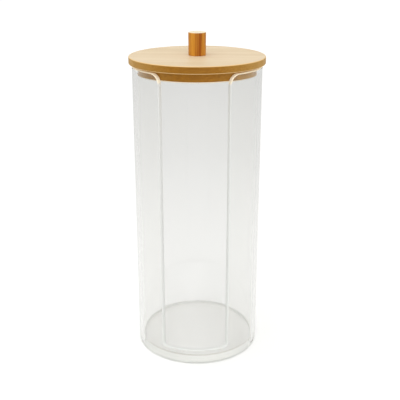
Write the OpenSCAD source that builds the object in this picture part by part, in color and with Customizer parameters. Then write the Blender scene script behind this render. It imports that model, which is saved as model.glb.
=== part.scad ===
// Holder for cotton balls and pads: a clear acrylic tube with a slot down
// its front and a loose turned bamboo lid. The axis of the tube is Z, it
// stands on z = 0, and the slot faces -Y. Sizes are in millimetres.

/* [Tube] */
// Outside diameter of the tube
tube_d = 70; // [56:1:90]
// Thickness of the tube wall
tube_wall = 2.5; // [1.5:0.25:4]
// Height of the tube from the table to its rim
tube_h = 163.6; // [90:0.2:220]
// Bevel on the inner and outer arris at both ends of the tube
tube_bevel = 0.3; // [0.1:0.05:0.6]

/* [Slot] */
// Width of the slot, straight across at the outside of the tube
slot_w = 36.2; // [18:0.2:44]
// Height of the slot sill above the table
slot_sill = 9; // [8.5:0.5:40]
// Radius where the slot sides run out into the rim
slot_rim_r = 5.5; // [1:0.25:8]
// Radius of the two lower corners of the slot
slot_foot_r = 1.5; // [0.5:0.25:5]

/* [Base] */
// Thickness of the base disc
base_t = 5; // [3:0.5:8]
// Radial clearance between the base disc and the tube, filled by the cement
base_gap = 0.05; // [0.02:0.01:0.2]
// Bevel on the upper and lower arris of the base disc
base_bevel = 0.3; // [0.1:0.05:0.6]

/* [Lid] */
// Thickness of the lid flange
flange_t = 4; // [3:0.25:8]
// Distance that the flange stands proud of the tube all round
flange_overhang = 1.7; // [0.5:0.1:6]
// Radius of the rounded arris at the top and bottom of the flange
flange_round = 0.6; // [0.2:0.1:1.4]
// Height of the seat that carries the flange just clear of the rim
seat_t = 1; // [0.4:0.1:2]
// Width of the rim that the seat covers, from the bore outwards
seat_land = 1.1; // [0.9:0.1:1.4]
// Depth of the plug below the flange
plug_t = 5.25; // [3:0.25:12]
// Radial clearance between the plug and the tube
plug_gap = 0.4; // [0.2:0.05:1.5]
// Bevel on the lower arris of the plug
plug_bevel = 0.6; // [0.2:0.1:1.5]

/* [Knob] */
// Diameter of the knob at its top
knob_d = 9.5; // [8:0.1:20]
// Diameter of the knob where it meets the lid
knob_foot_d = 9.3; // [8:0.1:20]
// Height of the knob above the lid
knob_h = 12.2; // [11:0.1:30]
// Bevel on the upper arris of the knob
knob_bevel = 0.5; // [0.2:0.1:1]

/* [Screw] */
// Diameter of the screw over its thread
screw_d = 3; // [2.5:0.1:3.5]
// Diameter of the screw core, and of the pilot hole in the knob
screw_core_d = 2.2; // [1.6:0.1:2.4]
// Length of screw that is driven into the knob
screw_bite = 8; // [6:0.25:9]
// Diameter of the countersunk head
screw_head_d = 6; // [5:0.1:7]
// Depth of the head below the underside of the plug
screw_sink = 0.3; // [0.1:0.1:0.6]
// Radial clearance of the screw and its head in the lid
screw_gap = 0.2; // [0.1:0.05:0.5]

/* [Hidden] */

$fn = 96;

// Overshoot that carries a cut past the face it opens
past = 1;

bore_d = tube_d - 2 * tube_wall;
base_d = bore_d - 2 * base_gap;

// The slot is cut square to the wall: each side lies in a plane through the
// axis, turned by this angle from the middle of the slot
slot_turn = asin(slot_w / tube_d);
// The arcs at the rim are set a little high, so that they meet it in a clean
// edge and not in a feather edge
rim_arc_lift = 0.05;

flange_foot = tube_h + seat_t;
lid_top = flange_foot + flange_t;
flange_d = tube_d + 2 * flange_overhang;
seat_d = bore_d + 2 * seat_land;
plug_d = bore_d - 2 * plug_gap;
plug_foot = flange_foot - plug_t;

// The pilot hole is a little deeper than the screw, to leave room for chips
pilot_spare = 1;
// Bevel on the mouth of the pilot hole and on the knob's lower arris
knob_foot_bevel = 0.2;

// The head is a 90 degree countersink: it narrows by its height each side
head_land = 0.3;
head_cone = (screw_head_d - screw_d) / 2;
head_face = plug_foot + screw_sink;

// Length of the point, and the width that is left at its end
screw_tip = 2.5;
screw_point_d = 0.2;

// Cross recess in the head
cross_w = screw_d * 0.3;
cross_span = screw_head_d * 0.62;
cross_depth = (head_land + head_cone) * 0.7;
cross_core_d = screw_head_d * 0.34;

// Colours of the clear acrylic, the bamboo board, the bamboo rod and the screw
acrylic = [0.92, 0.93, 0.93, 0.35];
bamboo = [0.86, 0.72, 0.49];
bamboo_rod = [0.74, 0.47, 0.17];
plated_steel = [0.78, 0.78, 0.8];

// Half section of a ring or disc with a bevel on every arris
module bevelled_section(inner_r, outer_r, height, bevel) {
    inner_bevel = inner_r > 0 ? bevel : 0;
    polygon([
        [inner_r + inner_bevel, 0],
        [outer_r - bevel, 0],
        [outer_r, bevel],
        [outer_r, height - bevel],
        [outer_r - bevel, height],
        [inner_r + inner_bevel, height],
        [inner_r, height - inner_bevel],
        [inner_r, inner_bevel]
    ]);
}

// Half section of a disc whose outer arrises are rounded
module rounded_section(radius, height, round_r) {
    square([radius - round_r, height]);
    translate([0, round_r])
        square([radius, height - 2 * round_r]);
    for (level = [round_r, height - round_r])
        translate([radius - round_r, level])
            circle(r = round_r);
}

// Corner that widens the slot where one side runs out into the rim
module rim_corner() {
    difference() {
        square([slot_rim_r, slot_rim_r + past]);
        translate([slot_rim_r, 0])
            circle(r = slot_rim_r);
    }
}

// Outline of one half of the slot, seen square to the wall at its side,
// which is the line x = 0. The half reaches a little past the middle.
module slot_half_outline() {
    reach = slot_w / 2 + past;
    foot_top = slot_sill + slot_foot_r;
    translate([-reach, foot_top])
        square([reach, tube_h + past - foot_top]);
    translate([-reach, slot_sill])
        square([reach - slot_foot_r, 2 * slot_foot_r]);
    translate([-slot_foot_r, foot_top])
        circle(r = slot_foot_r);
    translate([0, tube_h - slot_rim_r + rim_arc_lift])
        rim_corner();
}

// Cutter that takes the slot out of the front wall only
module slot_cutter() {
    for (hand = [0, 1])
        mirror([hand, 0, 0])
            rotate([0, 0, slot_turn])
                rotate([90, 0, 0])
                    linear_extrude(height = tube_d)
                        slot_half_outline();
}

module tube() {
    color(acrylic)
        difference() {
            rotate_extrude()
                bevelled_section(bore_d / 2, tube_d / 2, tube_h, tube_bevel);
            slot_cutter();
        }
}

module base_disc() {
    color(acrylic)
        rotate_extrude()
            bevelled_section(0, base_d / 2, base_t, base_bevel);
}

// Hole in the lid that takes the shank and the countersunk head
module screw_hole() {
    mouth_d = screw_head_d + 2 * screw_gap;
    shank_d = screw_d + 2 * screw_gap;
    translate([0, 0, plug_foot - past])
        cylinder(d = shank_d, h = plug_t + flange_t + 2 * past);
    translate([0, 0, plug_foot - past])
        cylinder(d = mouth_d, h = past + screw_sink + head_land);
    translate([0, 0, head_face + head_land])
        cylinder(d1 = mouth_d, d2 = shank_d, h = (mouth_d - shank_d) / 2);
}

module lid() {
    color(bamboo)
        difference() {
            union() {
                translate([0, 0, flange_foot])
                    rotate_extrude()
                        rounded_section(flange_d / 2, flange_t, flange_round);
                translate([0, 0, tube_h])
                    cylinder(d = seat_d, h = seat_t + flange_t / 2);
                translate([0, 0, plug_foot])
                    cylinder(d1 = plug_d - 2 * plug_bevel, d2 = plug_d, h = plug_bevel);
                translate([0, 0, plug_foot + plug_bevel])
                    cylinder(d = plug_d, h = plug_t - plug_bevel + flange_t / 2);
            }
            screw_hole();
        }
}

module knob() {
    foot_r = knob_foot_d / 2;
    top_r = knob_d / 2;
    color(bamboo_rod)
        translate([0, 0, lid_top])
            difference() {
                rotate_extrude()
                    polygon([
                        [0, 0],
                        [foot_r - knob_foot_bevel, 0],
                        [foot_r, knob_foot_bevel],
                        [top_r, knob_h - knob_bevel],
                        [top_r - knob_bevel, knob_h],
                        [0, knob_h]
                    ]);
                translate([0, 0, -past])
                    cylinder(d = screw_core_d, h = past + screw_bite + pilot_spare);
            }
}

// Cross-shaped socket, sunk into the head from below
module cross_recess() {
    for (turn = [0, 90])
        rotate([0, 0, turn])
            translate([-cross_span / 2, -cross_w / 2, -past])
                cube([cross_span, cross_w, past + cross_depth]);
    translate([0, 0, -past])
        cylinder(d = cross_core_d, h = past + cross_depth);
}

module knob_screw() {
    shank_end = lid_top - head_face;
    tip_start = shank_end + screw_bite - screw_tip;
    color(plated_steel)
        translate([0, 0, head_face])
            difference() {
                union() {
                    cylinder(d = screw_head_d, h = head_land);
                    translate([0, 0, head_land])
                        cylinder(d1 = screw_head_d, d2 = screw_d, h = head_cone);
                    cylinder(d = screw_d, h = shank_end);
                    cylinder(d = screw_core_d, h = tip_start);
                    translate([0, 0, tip_start])
                        cylinder(d1 = screw_core_d, d2 = screw_point_d, h = screw_tip);
                }
                cross_recess();
            }
}

tube();
base_disc();
lid();
knob();
knob_screw();
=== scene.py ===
"""Holder for cotton balls and pads: a clear acrylic tube with a slot down its front, a clear
base disc and a loose turned bamboo lid with a dowel knob. Lengths are in metres, and the slot
faces -Y."""

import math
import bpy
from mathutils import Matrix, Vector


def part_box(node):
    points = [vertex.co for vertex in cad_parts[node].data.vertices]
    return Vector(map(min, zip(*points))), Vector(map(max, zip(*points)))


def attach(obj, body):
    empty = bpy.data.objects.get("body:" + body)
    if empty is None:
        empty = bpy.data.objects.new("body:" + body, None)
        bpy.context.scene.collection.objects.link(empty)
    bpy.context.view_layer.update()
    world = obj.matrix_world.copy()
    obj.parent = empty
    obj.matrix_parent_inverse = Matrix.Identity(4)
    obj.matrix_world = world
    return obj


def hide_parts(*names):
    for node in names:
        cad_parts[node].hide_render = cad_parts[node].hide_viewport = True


bl_info = {
    "name": "Cotton Ball Holder",
    "version": (1, 0, 0),
    "blender": (4, 5, 0),
    "location": "View3D > Sidebar > Cotton Holder",
    "description": "Builds a clear acrylic cotton ball holder with a bamboo lid, and its stage",
    "category": "Add Mesh",
}

import bmesh
import bpy
from bpy.props import FloatProperty, FloatVectorProperty, IntProperty, PointerProperty
from bpy.types import Operator, Panel, PropertyGroup
from mathutils import Euler, Vector

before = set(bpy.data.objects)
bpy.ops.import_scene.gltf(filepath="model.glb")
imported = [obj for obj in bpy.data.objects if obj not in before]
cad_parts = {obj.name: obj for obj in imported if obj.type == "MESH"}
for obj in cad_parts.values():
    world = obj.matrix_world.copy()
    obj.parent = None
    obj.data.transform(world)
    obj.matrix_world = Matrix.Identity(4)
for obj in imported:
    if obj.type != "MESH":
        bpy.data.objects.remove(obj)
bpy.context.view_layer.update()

MM = 0.001
# The acrylic pieces' second material, on the faces that were cut and not polished
MILLED = 1
# Points of a mesh that lie closer than this are one
WELD = 0.0005 * MM
# Edges that turn more than this stay sharp. The steps of a rounded arris turn less
SHARP_TURN = math.radians(35)
# Faces round the base disc and the lid, and round the knob
DISC_STEPS = 192
KNOB_STEPS = 96
WHITE = (1.0, 1.0, 1.0, 1.0)
# Where the two lamps hang, in metres from the middle of the foot
TOP_BOX_AT = (-0.25, -0.15, 1.0)
FRONT_BOX_AT = (0.35, -1.1, 0.6)

tube_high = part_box("tube")[1]
disc_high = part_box("base_disc")[1]
lid_low, lid_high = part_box("lid")
knob_low, knob_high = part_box("knob")
head_low, head_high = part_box("knob_screw")


def linear(hex_colour):
    """Linear RGBA of an sRGB colour such as "EFD9AE"."""
    shares = [int(hex_colour[at:at + 2], 16) / 255 for at in (0, 2, 4)]
    return [s / 12.92 if s <= 0.04045 else ((s + 0.055) / 1.055) ** 2.4 for s in shares] + [1.0]


def length(name, description, default, low=0.0, high=1.0):
    """A length that the user can change, in metres."""
    return FloatProperty(
        name=name, description=description, default=default, min=low, max=high,
        precision=5, subtype="DISTANCE", unit="LENGTH",
    )


def angle(name, description, degrees):
    """An angle that the user can change, with its default in degrees."""
    return FloatProperty(
        name=name, description=description, default=math.radians(degrees),
        subtype="ANGLE", unit="ROTATION",
    )


def colour(name, description, hex_colour):
    """A colour that the user can change, with its default in sRGB."""
    return FloatVectorProperty(
        name=name, description=description, default=linear(hex_colour),
        size=4, min=0.0, max=1.0, subtype="COLOR",
    )


class TubeSettings(PropertyGroup):
    """Sizes of the tube and its slot"""

    outer_radius: length("Outer radius", "Outside radius of the tube", tube_high.x)
    wall: length("Wall", "Thickness of the tube wall", 2.5 * MM)
    height: length("Height", "Height of the rim above the table", tube_high.z)
    slot_width: length("Slot width", "Width of the slot, straight across outside", 36.2 * MM)
    sill: length("Sill", "Height of the slot sill above the table", 9 * MM)
    shoulder: length("Shoulder", "Radius where the slot sides run out into the rim", 5.5 * MM)
    foot_corner: length("Foot corner", "Radius of the two lower corners of the slot", 1.5 * MM)
    arris: length("Arris", "Radius of the broken edges of the wall", 0.5 * MM)
    column_step: length("Column step", "Spacing of the mesh columns round the tube", 1.2 * MM)
    row_step: length("Row step", "Spacing of the mesh rows up the tube", 4 * MM)


class DiscSettings(PropertyGroup):
    """Sizes of the base disc"""

    radius: length("Radius", "Radius of the base disc", disc_high.x)
    thickness: length("Thickness", "Thickness of the base disc", disc_high.z)
    arris: length("Arris", "Radius of the broken edges of the disc", 0.3 * MM)
    seam: length("Seam", "Height of the dull band that the cement leaves at the top", 0.5 * MM)


class LidSettings(PropertyGroup):
    """Sizes and colours of the lid"""

    flange_radius: length("Flange radius", "Radius of the flange that covers the rim", lid_high.x)
    top: length("Top", "Height of the lid's upper face above the table", lid_high.z)
    flange: length("Flange", "Thickness of the flange", 4 * MM)
    flange_round: length("Flange round", "Radius of the flange's rounded arrises", 0.6 * MM)
    seat_radius: length("Seat radius", "Radius of the seat that lies on the rim", 33.6 * MM)
    plug_radius: length("Plug radius", "Radius of the plug that enters the tube", 32.1 * MM)
    plug_foot: length("Plug foot", "Height of the plug's underside above the table", lid_low.z)
    plug_bevel: length("Plug bevel", "Bevel on the lower arris of the plug", 0.6 * MM)
    screw_gap: length("Screw gap", "Clearance round the screw and its head", 0.2 * MM)
    strip_width: length("Strip width", "Width of the bamboo strips glued into the board", 6 * MM)
    face_light: colour("Face light", "Pale fibres of the sanded faces", "EFDAB8")
    face_dark: colour("Face dark", "Darker fibres of the sanded faces", "DFC69D")
    edge_light: colour("Edge light", "Pale fibres of the turned edge, along the grain", "AE7720")
    edge_dark: colour("Edge dark", "Darker fibres of the turned edge, along the grain", "8C5A10")
    end_light: colour("End light", "Pale fibres of the turned edge, across the grain", "CDA055")
    end_dark: colour("End dark", "Darker fibres of the turned edge, across the grain", "AE8032")
    # Sanded wood painted paler than it is, as a highlight: the flange's arrises and the plug's
    # bevel stand for the light they catch from the floor and the lamps
    arris: colour("Arris", "Sanded corners of the flange", "F2CE92")
    plug_bevel_highlight: colour("Plug arris", "Sanded bevel round the foot of the plug", "FFF2D9")


class KnobSettings(PropertyGroup):
    """Sizes and colours of the knob"""

    top_radius: length("Top radius", "Radius of the knob at its top", knob_high.x)
    foot_radius: length("Foot radius", "Radius of the knob where it meets the lid", 4.65 * MM)
    foot: length("Foot", "Height of the knob's foot above the table", knob_low.z)
    top: length("Top", "Height of the knob's top above the table", knob_high.z)
    top_round: length("Top round", "Radius of the rounded upper arris", 0.5 * MM)
    foot_bevel: length("Foot bevel", "Bevel of the lower arris", 0.2 * MM)
    side_light: colour("Side light", "Pale fibres of the dowel's side", "DA9632")
    side_dark: colour("Side dark", "Dark fibres of the dowel's side", "A05606")
    streak_at: length("Streak", "Where the dark streak runs, right of the middle", 1.7 * MM)
    end_colour: colour("End", "Sawn and sanded end of the dowel", "F8EBCC")


class ScrewSettings(PropertyGroup):
    """Sizes of the knob's screw, and its colour"""

    head_radius: length("Head radius", "Radius of the countersunk head", head_high.x)
    shank_radius: length("Shank radius", "Radius of the screw's shank", 1.5 * MM)
    head_face: length("Head face", "Height of the head's face above the table", head_low.z)
    head_land: length("Head land", "Height of the straight edge of the head", 0.3 * MM)
    zinc: colour("Zinc", "Colour of the zinc plating", "D3D4D2")


class StageSettings(PropertyGroup):
    """Camera, floor and light"""

    camera_distance: length(
        "Camera distance", "From the tube's axis to the camera", 392.35 * MM, high=5,
    )
    camera_height: length(
        "Camera height", "Height of the camera above the table", 228.45 * MM, high=5,
    )
    camera_turn: angle("Camera turn", "Turn of the camera round the object", 2.4)
    camera_tilt: angle("Camera tilt", "How far the camera looks down", 19.92)
    camera_side: length("Camera side", "Sideways shift of the camera", 1.51 * MM)
    focal_length: FloatProperty(
        name="Focal length", description="Focal length in millimetres, on a sensor 36 mm wide",
        default=65.62, min=10.0, max=300.0,
    )
    floor_radius: length("Floor radius", "Radius of the floor", 6.0, high=20)
    floor_gap: length("Floor gap", "Air under the flat foot of the object", 0.1 * MM)
    floor_colour: colour("Floor", "Pale matt paint of the floor", "EDEDEB")
    light_bounces: IntProperty(
        name="Light bounces", description="How often a ray may reflect inside the acrylic",
        default=32, min=12, max=1024,
    )
    sky_strength: FloatProperty(
        name="Sky strength", description="Strength of the even light from all round",
        default=0.65, min=0.0, max=5.0,
    )
    top_power: FloatProperty(
        name="Top power", description="Power of the soft box above the object, in watts",
        default=3.0, min=0.0, max=500.0,
    )
    front_power: FloatProperty(
        name="Front power", description="Power of the soft box beside the camera, in watts",
        default=4.0, min=0.0, max=500.0,
    )


# Geometry


def add_strips(bm, rows, closed, finish=0):
    """Faces between each row of points and the next, in one of the piece's materials. A closed
    row ends where it starts."""
    made = [[bm.verts.new(point) for point in row] for row in rows]
    for low, high in zip(made, made[1:]):
        count = len(low) if closed else len(low) - 1
        for at in range(count):
            after = (at + 1) % len(low)
            face = bm.faces.new((low[at], low[after], high[after], high[at]))
            face.material_index = finish


def revolve(bm, profile, segments, finish=0):
    """Turn a profile of (radius, height) points round Z. Profiles that meet make one skin."""
    rows = []
    for radius, height in profile:
        turns = [2 * math.pi * at / segments for at in range(segments)]
        rows.append([(radius * math.sin(t), -radius * math.cos(t), height) for t in turns])
    add_strips(bm, rows, True, finish)


def arc(centre, radius, start, end, steps):
    """Points of an arc in a section, with its angles in degrees."""
    points = []
    for at in range(steps + 1):
        turn = math.radians(start + (end - start) * at / steps)
        points.append((centre[0] + radius * math.cos(turn), centre[1] + radius * math.sin(turn)))
    return points


def line(start, end, steps):
    """Points between two points of a section, both left out."""
    return [
        tuple(a + (b - a) * at / steps for a, b in zip(start, end))
        for at in range(1, steps)
    ]


def finish_mesh(bm, name):
    """Weld the mesh, turn its faces outward and make a smooth shaded object of it."""
    bmesh.ops.remove_doubles(bm, verts=bm.verts, dist=WELD)
    bmesh.ops.dissolve_degenerate(bm, edges=bm.edges, dist=WELD)
    bmesh.ops.recalc_face_normals(bm, faces=bm.faces)
    open_edges = [edge for edge in bm.edges if len(edge.link_faces) != 2]
    if open_edges:
        raise RuntimeError(f"{name} has {len(open_edges)} edges that don't join two faces")
    mesh = bpy.data.meshes.new(name)
    bm.to_mesh(mesh)
    bm.free()
    mesh.shade_smooth()
    mesh.set_sharp_from_angle(angle=SHARP_TURN)
    piece = bpy.data.objects.new(name, mesh)
    bpy.context.scene.collection.objects.link(piece)
    weighted = piece.modifiers.new("flat faces stay flat", "WEIGHTED_NORMAL")
    weighted.mode = "FACE_AREA"
    weighted.weight = 100
    weighted.keep_sharp = True
    return piece


def place(piece, node, *materials):
    """Set a piece in the frame in the place of its CAD node, with its materials."""
    for material in materials:
        piece.data.materials.append(material)
    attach(piece, "root")
    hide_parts(node)


# Materials


def new_material(name):
    material = bpy.data.materials.new(name)
    material.use_nodes = True
    material.node_tree.nodes.clear()
    return material


def add_node(tree, kind, sockets=None, **settings):
    """Add a node. Each socket is given a value, or the output of another node to link to."""
    node = tree.nodes.new(kind)
    for name, value in settings.items():
        setattr(node, name, value)
    for name, value in (sockets or {}).items():
        if isinstance(value, bpy.types.NodeSocket):
            tree.links.new(value, node.inputs[name])
        else:
            node.inputs[name].default_value = value
    return node


def clear_acrylic(name, roughness):
    """Clear cast or extruded acrylic: colourless, with grey only where the eye looks along it."""
    material = new_material(name)
    tree = material.node_tree
    place_in_piece = add_node(tree, "ShaderNodeTexCoord")
    # Wiping leaves hairline scuffs a few millimetres apart, which show as a faint change of gloss
    scuffs = add_node(tree, "ShaderNodeTexNoise", {
        "Vector": place_in_piece.outputs["Object"],
        "Scale": 1 / (4 * MM),
        "Detail": 3.0,
    })
    gloss = add_node(tree, "ShaderNodeMapRange", {
        "Value": scuffs.outputs["Fac"],
        "To Min": roughness,
        "To Max": roughness + 0.02,
    })
    shader = add_node(tree, "ShaderNodeBsdfPrincipled", {
        "Base Color": linear("FDFDFC"),
        "Roughness": gloss.outputs["Result"],
        "IOR": 1.49,
        "Transmission Weight": 1.0,
    })
    # Lamps shine through the walls, which take a little of the light by reflection
    clear = add_node(tree, "ShaderNodeBsdfTransparent", {"Color": linear("FCFCFB")})
    ray = add_node(tree, "ShaderNodeLightPath")
    lit_through = add_node(tree, "ShaderNodeMixShader", {
        0: ray.outputs["Is Shadow Ray"],
        1: shader.outputs["BSDF"],
        2: clear.outputs["BSDF"],
    })
    add_node(tree, "ShaderNodeOutputMaterial", {"Surface": lit_through.outputs[0]})
    return material


def cut_acrylic(name, light, dark, grey_below=-0.01, dull_above=1.0):
    """Acrylic as the cutter leaves it, a fine satin. The light that the wall leads along inside to
    its cut faces is painted on as a faint glow, so that rims and cut faces show as pale bands.
    Below one height the cut is a neutral grey, painted lighter towards the table, that glows only
    at the foot, and above another the cement left it dull. Neither band is there by default."""
    material = new_material(name)
    tree = material.node_tree
    coordinates = add_node(tree, "ShaderNodeTexCoord")
    at = add_node(tree, "ShaderNodeSeparateXYZ", {"Vector": coordinates.outputs["Object"]})
    # The cutter leaves marks about 0.4 mm apart
    marks = add_node(tree, "ShaderNodeTexNoise", {
        "Vector": coordinates.outputs["Object"],
        "Scale": 1 / (0.4 * MM),
        "Detail": 2.0,
    })
    satin_white = add_node(tree, "ShaderNodeMix", {
        0: marks.outputs["Fac"],
        6: linear(light),
        7: linear(dark),
    }, data_type="RGBA")
    grey = add_node(tree, "ShaderNodeMapRange", {
        "Value": at.outputs["Z"],
        "From Min": grey_below,
        "From Max": grey_below + 1.5 * MM,
        "To Min": 1.0,
        "To Max": 0.0,
    })
    # Painted light from the pale table: the grey is painted lighter at the foot and darker up
    # towards the rim
    painted_table_light = add_node(tree, "ShaderNodeMapRange", {
        "Value": at.outputs["Z"],
        "From Max": max(grey_below, 1 * MM),
    })
    grey_with_painted_table_light = add_node(tree, "ShaderNodeMix", {
        0: painted_table_light.outputs["Result"],
        6: linear("F3F4F1"),
        7: linear("EAEBE8"),
    }, data_type="RGBA")
    # The rim and shoulders take the pale satin colour, which with the glow paints on the light
    # that the wall leads up to them; the slot's sides take the grey
    white_or_grey = add_node(tree, "ShaderNodeMix", {
        0: grey.outputs["Result"],
        6: satin_white.outputs[2],
        7: grey_with_painted_table_light.outputs[2],
    }, data_type="RGBA")
    dull = add_node(tree, "ShaderNodeMapRange", {
        "Value": at.outputs["Z"],
        "From Min": dull_above - 0.4 * MM,
        "From Max": dull_above,
    })
    surface = add_node(tree, "ShaderNodeMix", {
        0: dull.outputs["Result"],
        6: white_or_grey.outputs[2],
        7: linear("D2D0CB"),
    }, data_type="RGBA")
    above_foot = add_node(tree, "ShaderNodeMapRange", {
        "Value": at.outputs["Z"],
        "From Min": 1 * MM,
        "From Max": 2 * MM,
        "To Min": 0.75,
    })
    without_painted_glow = add_node(tree, "ShaderNodeMath", {
        0: grey.outputs["Result"],
        1: above_foot.outputs["Result"],
    }, operation="MULTIPLY")
    # Painted glow, as a share of white: full on rims, shoulders and sawn edges, off in the grey
    # band, and a quarter on at the foot
    painted_glow = add_node(tree, "ShaderNodeMapRange", {
        "Value": without_painted_glow.outputs[0],
        "To Min": 0.15,
        "To Max": 0.0,
    })
    satin = add_node(tree, "ShaderNodeMapRange", {
        "Value": marks.outputs["Fac"],
        "To Min": 0.5,
        "To Max": 0.7,
    })
    shader = add_node(tree, "ShaderNodeBsdfPrincipled", {
        "Base Color": surface.outputs[2],
        "Roughness": satin.outputs["Result"],
        "IOR": 1.49,
        "Emission Color": linear("FFFCF5"),
        "Emission Strength": painted_glow.outputs["Result"],
    })
    add_node(tree, "ShaderNodeOutputMaterial", {"Surface": shader.outputs["BSDF"]})
    return material


def laminated_bamboo(settings):
    """Bamboo board, glued up from strips along X, turned and satin lacquered. The strips differ
    a little in tone, fine fibres run along them, and the turned edge drinks more lacquer."""
    material = new_material("laminated_bamboo_satin_lacquer")
    tree = material.node_tree
    coordinates = add_node(tree, "ShaderNodeTexCoord")
    at = add_node(tree, "ShaderNodeSeparateXYZ", {"Vector": coordinates.outputs["Object"]})
    facing = add_node(tree, "ShaderNodeSeparateXYZ", {"Vector": coordinates.outputs["Normal"]})

    strip_place = add_node(tree, "ShaderNodeMath", {
        0: at.outputs["Y"],
        1: settings.strip_width,
    }, operation="DIVIDE")
    strip_number = add_node(tree, "ShaderNodeMath", {0: strip_place.outputs[0]}, operation="FLOOR")
    strip_chance = add_node(tree, "ShaderNodeTexWhiteNoise", {
        "W": strip_number.outputs[0],
    }, noise_dimensions="1D")

    # Each strip comes from another culm, so its fibres are shifted by a chance length
    shift = add_node(tree, "ShaderNodeVectorMath", {
        0: strip_chance.outputs["Color"],
        1: (0.4, 0.0, 0.4),
    }, operation="MULTIPLY")
    shifted = add_node(tree, "ShaderNodeVectorMath", {
        0: coordinates.outputs["Object"],
        1: shift.outputs[0],
    }, operation="ADD")
    fibre_space = add_node(tree, "ShaderNodeVectorMath", {
        0: shifted.outputs[0],
        1: (1 / (28 * MM), 1 / (0.55 * MM), 1 / (0.55 * MM)),
    }, operation="MULTIPLY")
    fibres = add_node(tree, "ShaderNodeTexNoise", {
        "Vector": fibre_space.outputs[0],
        "Scale": 1.0,
        "Detail": 3.0,
        "Roughness": 0.6,
    })
    cloud_space = add_node(tree, "ShaderNodeVectorMath", {
        0: shifted.outputs[0],
        1: (1 / (45 * MM), 1 / (9 * MM), 1 / (9 * MM)),
    }, operation="MULTIPLY")
    clouds = add_node(tree, "ShaderNodeTexNoise", {
        "Vector": cloud_space.outputs[0],
        "Scale": 1.0,
        "Detail": 2.0,
    })
    tone_of_strip = add_node(tree, "ShaderNodeMath", {
        0: strip_chance.outputs["Value"],
        1: 0.35,
    }, operation="MULTIPLY")
    tone_with_fibres = add_node(tree, "ShaderNodeMath", {
        0: fibres.outputs["Fac"],
        1: 1.1,
        2: tone_of_strip.outputs[0],
    }, operation="MULTIPLY_ADD")
    tone = add_node(tree, "ShaderNodeMath", {
        0: clouds.outputs["Fac"],
        1: 0.6,
        2: tone_with_fibres.outputs[0],
    }, operation="MULTIPLY_ADD")
    darkness = add_node(tree, "ShaderNodeMapRange", {
        "Value": tone.outputs[0],
        "From Min": 0.65,
        "From Max": 1.4,
    })
    face = add_node(tree, "ShaderNodeMix", {
        0: darkness.outputs["Result"],
        6: settings.face_light,
        7: settings.face_dark,
    }, data_type="RGBA")
    along_grain = add_node(tree, "ShaderNodeMix", {
        0: darkness.outputs["Result"],
        6: settings.edge_light,
        7: settings.edge_dark,
    }, data_type="RGBA")
    across_grain = add_node(tree, "ShaderNodeMix", {
        0: darkness.outputs["Result"],
        6: settings.end_light,
        7: settings.end_dark,
    }, data_type="RGBA")
    to_the_side = add_node(tree, "ShaderNodeMath", {0: facing.outputs["X"]}, operation="ABSOLUTE")
    on_end_grain = add_node(tree, "ShaderNodeMapRange", {
        "Value": to_the_side.outputs[0],
        "From Min": 0.3,
        "From Max": 0.95,
    })
    edge = add_node(tree, "ShaderNodeMix", {
        0: on_end_grain.outputs["Result"],
        6: along_grain.outputs[2],
        7: across_grain.outputs[2],
    }, data_type="RGBA")
    upright = add_node(tree, "ShaderNodeMath", {0: facing.outputs["Z"]}, operation="ABSOLUTE")
    on_face = add_node(tree, "ShaderNodeMapRange", {
        "Value": upright.outputs[0],
        "From Min": 0.85,
        "From Max": 0.98,
    })
    # Painted highlight: the rounded arrises and the plug's bevel take the paler arris colours
    on_arris_highlight = add_node(tree, "ShaderNodeMapRange", {
        "Value": upright.outputs[0],
        "From Min": 0.3,
        "From Max": 0.5,
    })
    above_plug = add_node(tree, "ShaderNodeMapRange", {
        "Value": at.outputs["Z"],
        "From Min": settings.plug_foot + 1 * MM,
        "From Max": settings.plug_foot + 2 * MM,
    })
    arris = add_node(tree, "ShaderNodeMix", {
        0: above_plug.outputs["Result"],
        6: settings.plug_bevel_highlight,
        7: settings.arris,
    }, data_type="RGBA")
    edge_and_arris_highlight = add_node(tree, "ShaderNodeMix", {
        0: on_arris_highlight.outputs["Result"],
        6: edge.outputs[2],
        7: arris.outputs[2],
    }, data_type="RGBA")
    surface = add_node(tree, "ShaderNodeMix", {
        0: on_face.outputs["Result"],
        6: edge_and_arris_highlight.outputs[2],
        7: face.outputs[2],
    }, data_type="RGBA")
    grain = add_node(tree, "ShaderNodeBump", {
        "Strength": 0.25,
        "Distance": 0.03 * MM,
        "Height": fibres.outputs["Fac"],
    })
    shader = add_node(tree, "ShaderNodeBsdfPrincipled", {
        "Base Color": surface.outputs[2],
        "Roughness": 0.5,
        "IOR": 1.5,
        "Specular IOR Level": 0.2,
        "Normal": grain.outputs["Normal"],
    })
    add_node(tree, "ShaderNodeOutputMaterial", {"Surface": shader.outputs["BSDF"]})
    return material


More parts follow.
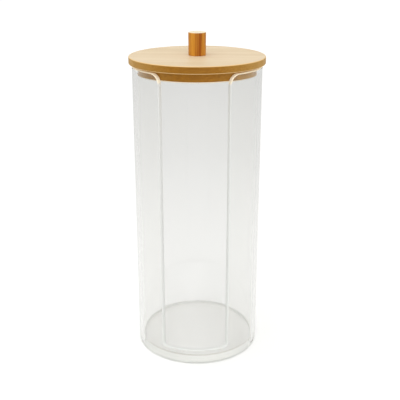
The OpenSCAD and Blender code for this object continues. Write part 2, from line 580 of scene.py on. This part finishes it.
def bamboo_dowel(settings):
    """Bamboo rod, turned between centres and satin lacquered: broad and fine streaks run up the
    side, and the sanded end is pale."""
    material = new_material("bamboo_dowel_satin_lacquer")
    tree = material.node_tree
    coordinates = add_node(tree, "ShaderNodeTexCoord")
    facing = add_node(tree, "ShaderNodeSeparateXYZ", {"Vector": coordinates.outputs["Normal"]})
    fine_space = add_node(tree, "ShaderNodeVectorMath", {
        0: coordinates.outputs["Object"],
        1: (1 / (0.6 * MM), 1 / (0.6 * MM), 1 / (16 * MM)),
    }, operation="MULTIPLY")
    fine = add_node(tree, "ShaderNodeTexNoise", {
        "Vector": fine_space.outputs[0],
        "Scale": 1.0,
        "Detail": 2.0,
    })
    broad_space = add_node(tree, "ShaderNodeVectorMath", {
        0: coordinates.outputs["Object"],
        1: (1 / (2.6 * MM), 1 / (2.6 * MM), 1 / (40 * MM)),
    }, operation="MULTIPLY")
    broad = add_node(tree, "ShaderNodeTexNoise", {
        "Vector": broad_space.outputs[0],
        "Scale": 1.0,
        "Detail": 1.0,
    })
    tone = add_node(tree, "ShaderNodeMath", {
        0: fine.outputs["Fac"],
        1: 0.7,
        2: broad.outputs["Fac"],
    }, operation="MULTIPLY_ADD")
    at = add_node(tree, "ShaderNodeSeparateXYZ", {"Vector": coordinates.outputs["Object"]})
    from_streak = add_node(tree, "ShaderNodeMath", {
        0: at.outputs["X"],
        1: settings.streak_at,
    }, operation="SUBTRACT")
    off_streak = add_node(tree, "ShaderNodeMath", {
        0: from_streak.outputs[0],
    }, operation="ABSOLUTE")
    # The streak is a bundle of darker fibres a little over a millimetre wide
    streak = add_node(tree, "ShaderNodeMapRange", {
        "Value": off_streak.outputs[0],
        "From Min": 0.3 * MM,
        "From Max": 0.9 * MM,
        "To Min": 0.45,
        "To Max": 0.0,
    })
    streaked = add_node(tree, "ShaderNodeMath", {
        0: tone.outputs[0],
        1: streak.outputs["Result"],
    }, operation="ADD")
    darkness = add_node(tree, "ShaderNodeMapRange", {
        "Value": streaked.outputs[0],
        "From Min": 0.65,
        "From Max": 1.15,
    })
    side = add_node(tree, "ShaderNodeMix", {
        0: darkness.outputs["Result"],
        6: settings.side_light,
        7: settings.side_dark,
    }, data_type="RGBA")
    on_end = add_node(tree, "ShaderNodeMapRange", {
        "Value": facing.outputs["Z"],
        "From Min": 0.3,
        "From Max": 0.9,
    })
    surface = add_node(tree, "ShaderNodeMix", {
        0: on_end.outputs["Result"],
        6: side.outputs[2],
        7: settings.end_colour,
    }, data_type="RGBA")
    grain = add_node(tree, "ShaderNodeBump", {
        "Strength": 0.25,
        "Distance": 0.03 * MM,
        "Height": fine.outputs["Fac"],
    })
    shader = add_node(tree, "ShaderNodeBsdfPrincipled", {
        "Base Color": surface.outputs[2],
        "Roughness": 0.45,
        "IOR": 1.5,
        "Specular IOR Level": 0.2,
        "Normal": grain.outputs["Normal"],
    })
    add_node(tree, "ShaderNodeOutputMaterial", {"Surface": shader.outputs["BSDF"]})
    return material


def zinc_plated_steel(settings):
    """Steel, bright zinc plated: a soft metal gloss that varies in faint spangles."""
    material = new_material("zinc_plated_steel")
    tree = material.node_tree
    coordinates = add_node(tree, "ShaderNodeTexCoord")
    spangle = add_node(tree, "ShaderNodeTexNoise", {
        "Vector": coordinates.outputs["Object"],
        "Scale": 1 / (0.5 * MM),
        "Detail": 2.0,
    })
    gloss = add_node(tree, "ShaderNodeMapRange", {
        "Value": spangle.outputs["Fac"],
        "To Min": 0.25,
        "To Max": 0.45,
    })
    shader = add_node(tree, "ShaderNodeBsdfPrincipled", {
        "Base Color": settings.zinc,
        "Metallic": 1.0,
        "Roughness": gloss.outputs["Result"],
    })
    add_node(tree, "ShaderNodeOutputMaterial", {"Surface": shader.outputs["BSDF"]})
    return material


def matt_floor_paint(settings):
    """Pale matt paint. It is white to the camera and keeps the object's shadow. Gloss and acrylic
    show it as the pale grey that it is near the object, lifted by a painted pool of light that is
    strongest under the object, and as white far off."""
    material = new_material("matt_floor_paint")
    tree = material.node_tree
    coordinates = add_node(tree, "ShaderNodeTexCoord")
    reach = add_node(tree, "ShaderNodeVectorMath", {
        0: coordinates.outputs["Object"],
    }, operation="LENGTH")
    paint = add_node(tree, "ShaderNodeBsdfDiffuse", {"Color": settings.floor_colour})
    ray = add_node(tree, "ShaderNodeLightPath")
    gloss_or_glass = add_node(tree, "ShaderNodeMath", {
        0: ray.outputs["Is Glossy Ray"],
        1: ray.outputs["Is Transmission Ray"],
    }, operation="MAXIMUM")
    # Painted light: near the object the floor seen in gloss and through acrylic is lifted by a
    # glow that is strongest under the object, where its shadow falls
    painted_light_near = add_node(tree, "ShaderNodeMapRange", {
        "Value": reach.outputs["Value"],
        "From Min": 0.03,
        "From Max": 0.4,
        "To Min": 0.175,
        "To Max": 0.07,
    })
    lift_far = add_node(tree, "ShaderNodeMapRange", {
        "Value": reach.outputs["Value"],
        "From Min": 0.9,
        "From Max": 2.4,
        "To Max": 0.48,
    })
    grey_to_white = add_node(tree, "ShaderNodeMath", {
        0: painted_light_near.outputs["Result"],
        1: lift_far.outputs["Result"],
    }, operation="ADD")
    lift_in_glass = add_node(tree, "ShaderNodeMath", {
        0: gloss_or_glass.outputs[0],
        1: grey_to_white.outputs[0],
    }, operation="MULTIPLY")
    # The lamps fade with distance, so the floor is lifted more to stay white
    lift_to_camera = add_node(tree, "ShaderNodeMapRange", {
        "Value": reach.outputs["Value"],
        "From Min": 0.15,
        "From Max": 1.2,
        "To Min": 0.3,
        "To Max": 0.5,
    })
    lift = add_node(tree, "ShaderNodeMath", {
        0: ray.outputs["Is Camera Ray"],
        1: lift_to_camera.outputs["Result"],
        2: lift_in_glass.outputs[0],
    }, operation="MULTIPLY_ADD")
    glow = add_node(tree, "ShaderNodeEmission", {
        "Color": WHITE,
        "Strength": lift.outputs[0],
    })
    both = add_node(tree, "ShaderNodeAddShader", {0: paint.outputs["BSDF"], 1: glow.outputs[0]})
    add_node(tree, "ShaderNodeOutputMaterial", {"Surface": both.outputs[0]})
    return material


def white_studio(strength):
    """A world that lights evenly, and is white to the camera, in gloss and through acrylic."""
    world = bpy.data.worlds.new("white_studio")
    world.use_nodes = True
    tree = world.node_tree
    tree.nodes.clear()
    ray = add_node(tree, "ShaderNodeLightPath")
    camera_or_gloss = add_node(tree, "ShaderNodeMath", {
        0: ray.outputs["Is Camera Ray"],
        1: ray.outputs["Is Glossy Ray"],
    }, operation="MAXIMUM")
    seen = add_node(tree, "ShaderNodeMath", {
        0: camera_or_gloss.outputs[0],
        1: ray.outputs["Is Transmission Ray"],
    }, operation="MAXIMUM")
    even_light = add_node(tree, "ShaderNodeBackground", {
        "Color": WHITE,
        "Strength": strength,
    })
    white = add_node(tree, "ShaderNodeBackground", {
        "Color": WHITE,
        "Strength": 1.0,
    })
    sky = add_node(tree, "ShaderNodeMixShader", {
        0: seen.outputs[0],
        1: even_light.outputs[0],
        2: white.outputs[0],
    })
    add_node(tree, "ShaderNodeOutputWorld", {"Surface": sky.outputs[0]})
    bpy.context.scene.world = world


# Pieces


class WallOutline:
    """The developed outline of the tube wall, seen square to it. It is measured along the middle
    of the wall, from the middle of the slot, and it is the same on both sides of the slot."""

    def __init__(self, tube):
        self.outer = tube.outer_radius
        self.inner = tube.outer_radius - tube.wall
        self.middle = (self.outer + self.inner) / 2
        self.tube = tube
        self.side = math.asin(tube.slot_width / 2 / tube.outer_radius) * self.middle
        self.back = math.pi * self.middle
        self.side_foot = tube.sill + tube.foot_corner
        self.side_top = tube.height - tube.shoulder
        rows = math.ceil((self.side_top - self.side_foot) / tube.row_step)
        self.side_rows = [
            self.side_foot + (self.side_top - self.side_foot) * at / rows for at in range(rows + 1)
        ]

    def half(self, inset):
        """Right half of the outline, from the middle of the sill to the back of the rim. The
        outline is drawn inset into the wall by the given distance."""
        tube = self.tube
        corner = (self.side - tube.foot_corner, self.side_foot)
        shoulder = (self.side + tube.shoulder, self.side_top)
        sill_steps = math.ceil(corner[0] / tube.column_step)
        rim_steps = math.ceil((self.back - shoulder[0]) / tube.column_step)
        sill = (0.0, tube.sill - inset)
        rim = (self.back, tube.height - inset)
        foot_arc = arc(corner, tube.foot_corner + inset, -90, 0, 6)
        shoulder_arc = arc(shoulder, tube.shoulder - inset, 180, 90, 14)
        return [
            [sill] + line(sill, foot_arc[0], sill_steps),
            foot_arc[:-1],
            [(self.side + inset, height) for height in self.side_rows],
            shoulder_arc[1:],
            line(shoulder_arc[-1], rim, rim_steps) + [rim],
        ]

    def point(self, along, height, radius):
        turn = along / self.middle
        return (radius * math.sin(turn), -radius * math.cos(turn), height)

    def loop(self, inset, radius):
        """The whole outline as one closed loop of points at a radius."""
        half = [point for part in self.half(inset) for point in part]
        whole = half + [(-along, height) for along, height in reversed(half[1:-1])]
        return [self.point(along, height, radius) for along, height in whole]


def tube_wall_sheet(bm, outline, radius, inset, foot):
    """One face of the wall, inner or outer, up to the slot and the rim. Returns the columns that
    stand on the foot."""
    sill, foot_arc, side, shoulder_arc, rim = outline.half(inset)
    low_rows = [foot + (outline.tube.sill / 2 - foot) * at / 2 for at in range(3)]
    low = low_rows[-1]

    def mirrored(columns):
        return [(-along, top) for along, top in reversed(columns)] + columns

    def rows_between(columns, low_of, high_of, steps):
        return [
            [
                outline.point(along, low_of + (high_of(top) - low_of) * at / steps, radius)
                for along, top in columns
            ]
            for at in range(steps + 1)
        ]

    slot_columns = mirrored(sill[1:] + foot_arc + side[:1])
    slot_columns.insert(len(slot_columns) // 2, sill[0])
    wall_half = side[-1:] + shoulder_arc + rim
    wall_columns = wall_half + [(-along, top) for along, top in reversed(wall_half[:-1])]
    wall_columns = [
        (along if along >= 0 else along + 2 * outline.back, top) for along, top in wall_columns
    ]
    ring = slot_columns[:-1] + wall_columns[:-1]
    add_strips(
        bm, [[outline.point(a, height, radius) for a, _ in ring] for height in low_rows], True,
    )
    add_strips(bm, rows_between(slot_columns, low, lambda top: top, 3), False)
    add_strips(bm, rows_between(wall_columns, low, lambda top: outline.side_foot, 3), False)
    side_rows = outline.side_rows
    add_strips(
        bm, [[outline.point(a, height, radius) for a, _ in wall_columns] for height in side_rows],
        False,
    )
    add_strips(bm, rows_between(wall_columns, outline.side_top, lambda top: top, 3), False)
    return ring


def build_tube(tube):
    """Acrylic tube with the slot cut square to its wall and every arris lightly broken."""
    outline = WallOutline(tube)
    edge = tube.arris
    bm = bmesh.new()
    ring = tube_wall_sheet(bm, outline, outline.outer, edge, edge)
    tube_wall_sheet(bm, outline, outline.inner, edge, edge)

    # Across the wall from the outer face to the inner one, as (radius, distance from the cut face)
    across = arc((outline.outer - edge, edge), edge, 0, -90, 3)
    across += line(across[-1], (outline.inner + edge, 0.0), 4)
    across += arc((outline.inner + edge, edge), edge, 270, 180, 3)
    add_strips(bm, [outline.loop(inset, radius) for radius, inset in across], True, MILLED)
    foot_rows = [[outline.point(a, rise, radius) for a, _ in ring] for radius, rise in across]
    add_strips(bm, foot_rows, True, MILLED)
    return finish_mesh(bm, "tube_acrylic")


class HOLDER_OT_tube(Operator):
    """Build the clear tube with the slot down its front"""

    bl_idname = "holder.tube"
    bl_label = "Tube"

    def execute(self, context):
        tube = context.scene.holder_tube
        piece = build_tube(tube)
        # The rim's pale colour is warmed to cream with painted light from the bamboo lid above it
        cut = cut_acrylic(
            "milled_extruded_acrylic_painted_glow", "FFF3DA", "F6E7C6",
            grey_below=tube.height - tube.shoulder,
        )
        place(piece, "tube", clear_acrylic("polished_extruded_acrylic", 0.0), cut)
        return {"FINISHED"}


class HOLDER_OT_base_disc(Operator):
    """Build the clear disc that closes the foot of the tube"""

    bl_idname = "holder.base_disc"
    bl_label = "Base disc"

    def execute(self, context):
        disc = context.scene.holder_disc
        edge = disc.arris
        side = disc.radius - edge
        bm = bmesh.new()
        rim = arc((side, edge), edge, -90, 0, 3)
        rim += arc((side, disc.thickness - edge), edge, 0, 90, 3)
        for height, outer in ((0.0, rim[0]), (disc.thickness, rim[-1])):
            centre = (0.0, height)
            revolve(bm, [centre] + line(centre, outer, 12) + [outer], DISC_STEPS)
        revolve(bm, rim, DISC_STEPS, MILLED)
        piece = finish_mesh(bm, "base_disc_acrylic")
        # The disc's sawn edge glows with painted light, the light that the disc leads along inside
        cut = cut_acrylic(
            "sawn_cast_acrylic_painted_glow", "EDEEEC", "E5E6E3", dull_above=disc.thickness - disc.seam,
        )
        place(piece, "base_disc", clear_acrylic("polished_cast_acrylic", 0.0), cut)
        return {"FINISHED"}


class HOLDER_OT_lid(Operator):
    """Build the turned bamboo lid: a flange, its seat on the rim, the plug and the screw hole"""

    bl_idname = "holder.lid"
    bl_label = "Lid"

    def execute(self, context):
        lid = context.scene.holder_lid
        screw = context.scene.holder_screw
        edge = lid.flange_round
        rim = context.scene.holder_tube.height
        flange_foot = lid.top - lid.flange
        mouth = screw.head_radius + lid.screw_gap
        shank = screw.shank_radius + lid.screw_gap
        cone_foot = screw.head_face + screw.head_land
        profile = [(mouth, lid.plug_foot), (mouth, cone_foot), (shank, cone_foot + mouth - shank)]
        profile += line(profile[-1], (shank, lid.top), 3) + [(shank, lid.top)]
        profile += line(profile[-1], (lid.flange_radius - edge, lid.top), 12)
        profile += arc((lid.flange_radius - edge, lid.top - edge), edge, 90, 0, 4)
        side_top = (lid.flange_radius, lid.top - edge)
        side_foot = (lid.flange_radius, flange_foot + edge)
        profile += line(side_top, side_foot, 3)
        profile += arc((lid.flange_radius - edge, flange_foot + edge), edge, 0, -90, 4)
        profile += [(lid.seat_radius, flange_foot), (lid.seat_radius, rim), (lid.plug_radius, rim)]
        profile += [(lid.plug_radius, lid.plug_foot + lid.plug_bevel)]
        profile += [(lid.plug_radius - lid.plug_bevel, lid.plug_foot)]
        profile += line(profile[-1], (mouth, lid.plug_foot), 12) + [(mouth, lid.plug_foot)]
        bm = bmesh.new()
        revolve(bm, profile, DISC_STEPS)
        piece = finish_mesh(bm, "lid_bamboo")
        place(piece, "lid", laminated_bamboo(lid))
        return {"FINISHED"}


class HOLDER_OT_knob(Operator):
    """Build the tapered dowel knob"""

    bl_idname = "holder.knob"
    bl_label = "Knob"

    def execute(self, context):
        knob = context.scene.holder_knob
        edge = knob.top_round
        bevel = knob.foot_bevel
        profile = [(0.0, knob.foot), (knob.foot_radius - bevel, knob.foot)]
        profile += [(knob.foot_radius, knob.foot + bevel)]
        profile += line(profile[-1], (knob.top_radius, knob.top - edge), 6)
        profile += arc((knob.top_radius - edge, knob.top - edge), edge, 0, 90, 5)
        profile += line(profile[-1], (0.0, knob.top), 4) + [(0.0, knob.top)]
        bm = bmesh.new()
        revolve(bm, profile, KNOB_STEPS)
        piece = finish_mesh(bm, "knob_bamboo")
        place(piece, "knob", bamboo_dowel(knob))
        return {"FINISHED"}


class HOLDER_OT_screw(Operator):
    """Finish the countersunk screw that holds the knob"""

    bl_idname = "holder.screw"
    bl_label = "Screw"

    def execute(self, context):
        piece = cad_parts["knob_screw"]
        piece.data.materials.clear()
        piece.data.materials.append(zinc_plated_steel(context.scene.holder_screw))
        return {"FINISHED"}


def soft_box(name, place_at, aim_at, power):
    """A square area lamp that faces a point. It is just as large as makes its face as bright as
    the white surroundings, so that it leaves no bright patch in the acrylic."""
    lamp = bpy.data.lights.new(name, "AREA")
    lamp.shape = "SQUARE"
    lamp.size = math.sqrt(power / math.pi)
    lamp.energy = power
    holder = bpy.data.objects.new(name, lamp)
    holder.location = place_at
    holder.rotation_euler = (Vector(aim_at) - Vector(place_at)).to_track_quat("-Z", "Y").to_euler()
    holder.visible_camera = False
    bpy.context.scene.collection.objects.link(holder)


class HOLDER_OT_stage(Operator):
    """Set the floor, the world, the lamps and the camera"""

    bl_idname = "holder.stage"
    bl_label = "Stage"

    def execute(self, context):
        scene = context.scene
        stage = scene.holder_stage
        bm = bmesh.new()
        bmesh.ops.create_circle(bm, cap_ends=True, radius=stage.floor_radius, segments=96)
        mesh = bpy.data.meshes.new("floor")
        bm.to_mesh(mesh)
        bm.free()
        floor = bpy.data.objects.new("floor", mesh)
        floor.location = (0.0, 0.0, -stage.floor_gap)
        mesh.materials.append(matt_floor_paint(stage))
        scene.collection.objects.link(floor)
        white_studio(stage.sky_strength)

        waist = (0.0, 0.0, scene.holder_tube.height / 2)
        soft_box("top_soft_box", TOP_BOX_AT, waist, stage.top_power)
        soft_box("front_soft_box", FRONT_BOX_AT, waist, stage.front_power)

        lens = bpy.data.cameras.new("camera")
        lens.lens = stage.focal_length
        lens.sensor_width = 36.0
        lens.clip_start = 1 * MM
        camera = bpy.data.objects.new("camera", lens)
        spot = Vector((stage.camera_side, -stage.camera_distance, stage.camera_height))
        turn = Euler((0.0, 0.0, stage.camera_turn))
        spot.rotate(turn)
        camera.location = spot
        camera.rotation_euler = (math.pi / 2 - stage.camera_tilt, 0.0, stage.camera_turn)
        scene.collection.objects.link(camera)
        scene.camera = camera
        scene.view_settings.view_transform = "Standard"
        # Light runs along inside the acrylic by reflection after reflection
        scene.cycles.max_bounces = stage.light_bounces
        scene.cycles.glossy_bounces = stage.light_bounces
        scene.cycles.transmission_bounces = stage.light_bounces
        return {"FINISHED"}


class HOLDER_PT_panel(Panel):
    """Lists the pieces and the stage"""

    bl_idname = "HOLDER_PT_panel"
    bl_label = "Cotton Ball Holder"
    bl_space_type = "VIEW_3D"
    bl_region_type = "UI"
    bl_category = "Cotton Holder"

    def draw(self, context):
        for operator in OPERATORS:
            self.layout.operator(operator.bl_idname)


GROUPS = {
    "holder_tube": TubeSettings,
    "holder_disc": DiscSettings,
    "holder_lid": LidSettings,
    "holder_knob": KnobSettings,
    "holder_screw": ScrewSettings,
    "holder_stage": StageSettings,
}
OPERATORS = (
    HOLDER_OT_tube, HOLDER_OT_base_disc, HOLDER_OT_lid, HOLDER_OT_knob, HOLDER_OT_screw,
    HOLDER_OT_stage,
)


def register():
    for name, group in GROUPS.items():
        bpy.utils.register_class(group)
        setattr(bpy.types.Scene, name, PointerProperty(type=group))
    for each in (*OPERATORS, HOLDER_PT_panel):
        bpy.utils.register_class(each)


def unregister():
    for each in reversed((*OPERATORS, HOLDER_PT_panel)):
        bpy.utils.unregister_class(each)
    for name, group in reversed(GROUPS.items()):
        delattr(bpy.types.Scene, name)
        bpy.utils.unregister_class(group)


def main():
    register()
    bpy.ops.holder.tube()
    bpy.ops.holder.base_disc()
    bpy.ops.holder.lid()
    bpy.ops.holder.knob()
    bpy.ops.holder.screw()
    bpy.ops.holder.stage()


if __name__ == "__main__":
    main()
